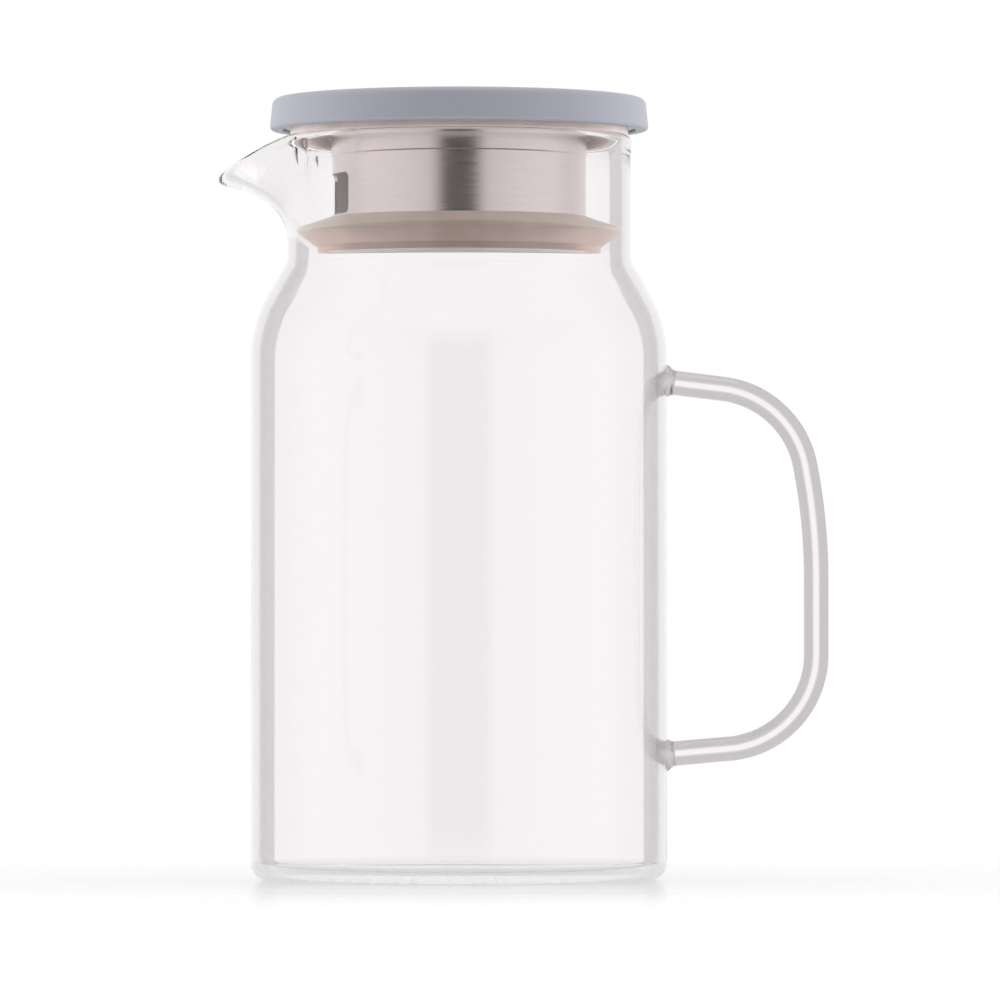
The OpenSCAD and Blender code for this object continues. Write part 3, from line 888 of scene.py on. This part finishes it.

# %% [markdown]
# ## Silicone and plastic
# Silicone is cloudy: light enters it and comes out again a little further on, so it gets
# subsurface scattering. Its colour is also painted brighter at a steep view, a painted backlight
# for light from behind that comes through. The seal's top above its lip is painted paler, a painted
# highlight where light falls from above. The moulded cap has the fine grain of a spark-eroded
# mould.

# %% Make the silicone
SILICONE_IOR = 1.41
SCATTER_SHARES = (1, 0.8, 0.65)
CLOUD_SCALE = 120
SKIN_SCALE = 2500
SKIN_H = 0.01 * MM
STEEP_VIEW = (0.33, 0.62)
PAINTED_BACKLIGHT_GAIN = (1, 1.5)


def make_silicone(name, dark, light, painted_lit_top_dark, painted_lit_top_light, painted_lit_top_from):
    """Silicone from dark to light in clouds, with two paler colours above a height as a painted
    highlight.
    """
    silicone, shader = new_finish(
        name, roughness=0.34, subsurface_weight=0.3, subsurface_scale=1 * MM, ior=SILICONE_IOR
    )
    shader.inputs["Subsurface Radius"].default_value = SCATTER_SHARES
    clouds = object_noise(silicone, CLOUD_SCALE, detail=3)
    place = add(silicone, "TexCoord")
    axes = add(silicone, "SeparateXYZ")
    height = add(silicone, "MapRange", interpolation_type="SMOOTHSTEP")
    set_range(height, painted_lit_top_from, painted_lit_top_from + LIP_TIP_R)
    blend = add(silicone, "Mix", data_type="RGBA")
    join(silicone, place.outputs["Object"], axes.inputs["Vector"])
    join(silicone, axes.outputs["Z"], height.inputs["Value"])
    join(silicone, height.outputs["Result"], blend.inputs["Factor"])
    join(silicone, tint(silicone, clouds, dark, light), blend.inputs["A"])
    join(silicone, tint(silicone, clouds, painted_lit_top_dark, painted_lit_top_light), blend.inputs["B"])
    # Painted backlight: the colour is painted brighter at a steep view.
    steepness = add(silicone, "LayerWeight")
    painted_backlight = add(silicone, "MapRange")
    set_range(painted_backlight, *STEEP_VIEW, *PAINTED_BACKLIGHT_GAIN)
    brighter = add(silicone, "VectorMath", operation="SCALE")
    join(silicone, steepness.outputs["Facing"], painted_backlight.inputs["Value"])
    join(silicone, blend.outputs["Result"], brighter.inputs["Vector"])
    join(silicone, painted_backlight.outputs["Result"], brighter.inputs["Scale"])
    join(silicone, brighter.outputs["Vector"], shader.inputs["Base Color"])
    bump(silicone, object_noise(silicone, SKIN_SCALE), shader, SKIN_H)
    return silicone


# The second pair of colours is a painted highlight: on the seal above its lip, on the gasket from
# its foot.
seal_silicone = make_silicone(
    "seal_silicone", (0.42, 0.3, 0.26), (0.47, 0.35, 0.31),
    (0.5, 0.41, 0.35), (0.55, 0.46, 0.4), SEAL_Z + LIP_H - LIP_TIP_R / 2,
)
gasket_silicone = make_silicone(
    "gasket_silicone", (0.56, 0.47, 0.45), (0.61, 0.53, 0.51),
    (0.58, 0.49, 0.47), (0.63, 0.55, 0.53), GASKET_Z,
)
print("silicone finishes:", seal_silicone.name, gasket_silicone.name)

# %% Make the plastics
PLASTIC_IOR = 1.5
PATCH_SCALE = 45
GRAIN_SCALE = 3200
GRAIN_H = 0.012 * MM
ROUGHNESS_SPREAD = 0.05


def make_plastic(name, dark, light, roughness):
    """Plastic from dark to light in faint patches, with a fine moulded grain."""
    plastic, shader = new_finish(name, roughness=roughness, ior=PLASTIC_IOR)
    join(
        plastic,
        tint(plastic, object_noise(plastic, PATCH_SCALE, detail=4), dark, light),
        shader.inputs["Base Color"],
    )
    grain = object_noise(plastic, GRAIN_SCALE, detail=3)
    dull = remap(plastic, grain, roughness - ROUGHNESS_SPREAD, roughness + ROUGHNESS_SPREAD)
    join(plastic, dull, shader.inputs["Roughness"])
    bump(plastic, grain, shader, GRAIN_H)
    return plastic


cap_plastic = make_plastic("cap_plastic", (0.41, 0.418, 0.48), (0.43, 0.438, 0.5), 0.46)
liner_plastic = make_plastic("liner_plastic", (0.56, 0.555, 0.55), (0.6, 0.595, 0.59), 0.4)
print("plastic finishes:", cap_plastic.name, liner_plastic.name)

# %% Put the finishes on the pieces
FINISHES = [
    (blown_body, body_glass),
    (rod_handle, rod_glass),
    (pouring_drum, steel),
    (neck_seal, seal_silicone),
    (gasket_ring, gasket_silicone),
    (liner_plate, liner_plastic),
    (moulded_cap, cap_plastic),
]
for piece, finish in FINISHES:
    piece.data.materials.clear()
    piece.data.materials.append(finish)
blown_body.data.materials.append(inner_glass)
for face in blown_body.data.polygons:
    if face.normal.x * face.center.x + face.normal.y * face.center.y < 0:
        face.material_index = 1
pouring_drum.data.materials.append(inner_steel)
for face in pouring_drum.data.polygons:
    if math.hypot(face.center.x, face.center.y) < drum_bore_r + HAIR:
        face.material_index = 1
for piece, _ in FINISHES:
    print(piece.name, "has", [finish.name for finish in piece.data.materials])

# %% [markdown]
# ## The studio
# The steel hints at how the picture was lit: bright panels all round, a little dimmer in front and
# behind, and a dark gap where the camera stands. What the camera sees straight or through the glass
# is a white backdrop. So the world is white, except for rays that have been mirrored or scattered.
# For these its level depends on the bearing, counted from the camera's side, and is lower below.
# Scattered rays get more from the sides, so round pieces are darker in the middle, and less from
# high above, so that a top renders about as its colour is written. Light that only turned inside
# the glass misses the gap, or it would draw black lines along every edge.

# %% Build the world
GAP_LEVEL = 0.02
MIRRORED_LEVELS = [(14, GAP_LEVEL), (20, 0.77), (47, 0.9), (90, 1.02), (117, 0.82), (170, 1)]
SCATTERED_LEVELS = [(0, 0.39), (30, 0.54), (75, 1.62), (115, 2.05), (180, 1.08)]
HIGHEST_LEVEL = 2.2
HIGH_HEIGHT = (0.4, 0.6)
HIGH_DIMMING = 0.6
GAP_HEIGHT = (0.2, 0.45)
ABOVE_GAP_LEVEL = 0.9
LOW_HEIGHT = (-0.6, 0)
LOW_DIMMING = 0.8
INSIDE_GLASS_LEVEL = 0.6
FACES_OF_A_WALL = 4
HALF = 0.5

world = bpy.data.worlds.new("studio")
bpy.context.scene.world = world
world.use_nodes = True
background = world.node_tree.nodes["Background"]
background.inputs["Color"].default_value = (1, 1, 1, 1)


def world_node(kind, **settings):
    node = world.node_tree.nodes.new("ShaderNode" + kind)
    for name, value in settings.items():
        setattr(node, name, value)
    return node


def world_math(operation, *values):
    """A Math node whose inputs are numbers or other nodes' outputs."""
    node = world_node("Math", operation=operation)
    for socket, value in zip(node.inputs, values):
        if isinstance(value, (int, float)):
            socket.default_value = value
        else:
            world.node_tree.links.new(value, socket)
    return node.outputs["Value"]


def world_step(value, edge, low, high):
    """A smooth step from low to high as a value passes between the two ends of edge."""
    node = world_node("MapRange", interpolation_type="SMOOTHSTEP")
    set_range(node, *edge, low, high)
    world.node_tree.links.new(value, node.inputs["Value"])
    return node.outputs["Result"]


def world_ramp(bearing, stops):
    """A level that follows stops of (bearing in degrees, level), up to the highest level."""
    node = world_node("ValToRGB")
    elements = node.color_ramp.elements
    while len(elements) < len(stops):
        elements.new(HALF)
    for element, (angle, level) in zip(elements, stops):
        element.position = angle / 180
        share = level / HIGHEST_LEVEL
        element.color = (share, share, share, 1)
    world.node_tree.links.new(bearing, node.inputs["Fac"])
    return world_math("MULTIPLY", node.outputs["Color"], HIGHEST_LEVEL)


directions = world_node("SeparateXYZ")
coordinates = world_node("TexCoord")
light_path = world_node("LightPath")
world.node_tree.links.new(coordinates.outputs["Generated"], directions.inputs["Vector"])
minus_y = world_math("MULTIPLY", directions.outputs["Y"], -1)
off_camera = world_math("ABSOLUTE", world_math("ARCTAN2", directions.outputs["X"], minus_y))
bearing = world_math("DIVIDE", off_camera, math.pi)
up = directions.outputs["Z"]
above_gap = world_step(world_math("ABSOLUTE", up), GAP_HEIGHT, 0, ABOVE_GAP_LEVEL)
mirrored_once = world_math("COMPARE", light_path.outputs["Glossy Depth"], 1, HALF)
glass_faces = light_path.outputs["Transmission Depth"]
in_open_air = world_math("COMPARE", glass_faces, 0, HALF)
through_a_wall = world_math("COMPARE", glass_faces, FACES_OF_A_WALL, HALF)
sees_gap = world_math("MULTIPLY", mirrored_once, world_math("ADD", in_open_air, through_a_wall))
inside_glass = world_math(
    "MULTIPLY", world_math("SUBTRACT", 1, sees_gap), INSIDE_GLASS_LEVEL
)
mirrored = world_math("MAXIMUM", above_gap, world_ramp(bearing, MIRRORED_LEVELS))
mirrored = world_math("MAXIMUM", mirrored, inside_glass)
scattered = world_math(
    "MULTIPLY", world_ramp(bearing, SCATTERED_LEVELS), world_step(up, HIGH_HEIGHT, 1, HIGH_DIMMING)
)
was_scattered = light_path.outputs["Is Diffuse Ray"]
bounced = world_math(
    "ADD",
    world_math("MULTIPLY", scattered, was_scattered),
    world_math("MULTIPLY", mirrored, world_math("SUBTRACT", 1, was_scattered)),
)
dimmed = world_math("MULTIPLY", bounced, world_step(up, LOW_HEIGHT, LOW_DIMMING, 1))
bounces = world_math(
    "ADD", light_path.outputs["Glossy Depth"], light_path.outputs["Diffuse Depth"]
)
seen_straight = world_math("LESS_THAN", bounces, HALF)
level = world_math("MAXIMUM", dimmed, seen_straight)
world.node_tree.links.new(level, background.inputs["Strength"])
print("the world has", len(world.node_tree.nodes), "nodes")

# %% [markdown]
# ## Lamp and floor
# One wide, soft panel hangs overhead. The floor is a plain pale board that mirrors at a flat view,
# as lacquer does. It fades out at a distance, so that no horizon shows.

# %% Add the lamp
LAMP_W = 0.8
LAMP_HEIGHT = 1.3
LAMP_POWER = 2
lamp_data = bpy.data.lights.new("top_panel", "AREA")
lamp_data.shape = "SQUARE"
lamp_data.size = LAMP_W
lamp_data.energy = LAMP_POWER
lamp = bpy.data.objects.new("top_panel", lamp_data)
bpy.context.scene.collection.objects.link(lamp)
lamp.location = (0, 0, LAMP_HEIGHT)
print(lamp.name, "hangs", LAMP_HEIGHT, "m up")

# %% Lay the floor
FLOOR_R = 0.4
FADE_IN = 0.06
FADE_OUT = 0.3
FLAT_VIEW = (0.85, 0.97)
SHEEN = (0.05, 0.6)
FLOOR_SIDES = 128
BOARD_COLOUR = (0.95, 0.95, 0.95, 1)
LACQUER_ROUGHNESS = 0.1
bpy.ops.object.select_all(action="DESELECT")
bpy.ops.mesh.primitive_circle_add(vertices=FLOOR_SIDES, radius=FLOOR_R, fill_type="NGON")
floor = bpy.context.object
floor.name = "floor"
board, board_shader = new_finish(
    "white_board", base_color=BOARD_COLOUR, roughness=1, specular_ior_level=0
)
mirror = add(board, "BsdfAnisotropic")
mirror.inputs["Color"].default_value = (1, 1, 1, 1)
mirror.inputs["Roughness"].default_value = LACQUER_ROUGHNESS
flatness = add(board, "LayerWeight")
share = add(board, "MapRange")
set_range(share, *FLAT_VIEW, *SHEEN)
sheen = add(board, "MixShader")
place = add(board, "TexCoord")
distance = add(board, "VectorMath", operation="LENGTH")
fade = add(board, "MapRange", interpolation_type="SMOOTHSTEP")
set_range(fade, FADE_IN, FADE_OUT)
nothing = add(board, "BsdfTransparent")
blend = add(board, "MixShader")
join(board, flatness.outputs["Facing"], share.inputs["Value"])
join(board, share.outputs["Result"], sheen.inputs["Fac"])
join(board, board_shader.outputs["BSDF"], sheen.inputs[1])
join(board, mirror.outputs["BSDF"], sheen.inputs[2])
join(board, place.outputs["Object"], distance.inputs[0])
join(board, distance.outputs["Value"], fade.inputs["Value"])
join(board, fade.outputs["Result"], blend.inputs["Fac"])
join(board, sheen.outputs["Shader"], blend.inputs[1])
join(board, nothing.outputs["BSDF"], blend.inputs[2])
join(board, blend.outputs["Shader"], board.node_tree.nodes["Material Output"].inputs["Surface"])
floor.data.materials.append(board)
print(floor.name, "fades out", FADE_OUT, "m from the axis")

# %% [markdown]
# ## The camera
# The picture was taken with a long lens from a little above the floor: the base shows as a very
# flat ellipse, and the cap is seen slightly from below.

# %% Place the camera
CAMERA_DISTANCE = 2383 * MM
CAMERA_X = 11.6 * MM
CAMERA_Z = 62 * MM
AIM_Z = 107.8 * MM
PICTURE_PX = 1000
FOCAL_PX = 8400
SENSOR_MM = 36
FAR_CLIP = 20
camera_data = bpy.data.cameras.new("camera")
camera_data.sensor_width = SENSOR_MM
camera_data.lens = SENSOR_MM * FOCAL_PX / PICTURE_PX
camera = bpy.data.objects.new("camera", camera_data)
bpy.context.scene.collection.objects.link(camera)
camera.location = (CAMERA_X, -CAMERA_DISTANCE, CAMERA_Z)
tilt = math.atan2(AIM_Z - CAMERA_Z, CAMERA_DISTANCE)
camera.rotation_euler = (math.pi / 2 + tilt, 0, 0)
camera_data.clip_end = FAR_CLIP
bpy.context.scene.camera = camera
bpy.context.scene.view_settings.view_transform = "Standard"
print("the lens is", round(camera_data.lens, 1), "mm long and tilted", round(math.degrees(tilt), 2))

# %% [markdown]
# Light turns many times inside the edge of a glass wall before it leaves. With the usual limit of
# four mirrored bounces, those edges would come out black.

# %% Let light turn more often
MIRRORED_BOUNCES = 32
GLASS_BOUNCES = 32
ALL_BOUNCES = 48
light_paths = bpy.context.scene.cycles
light_paths.glossy_bounces = MIRRORED_BOUNCES
light_paths.transmission_bounces = GLASS_BOUNCES
light_paths.max_bounces = ALL_BOUNCES
print("light may turn", light_paths.max_bounces, "times")
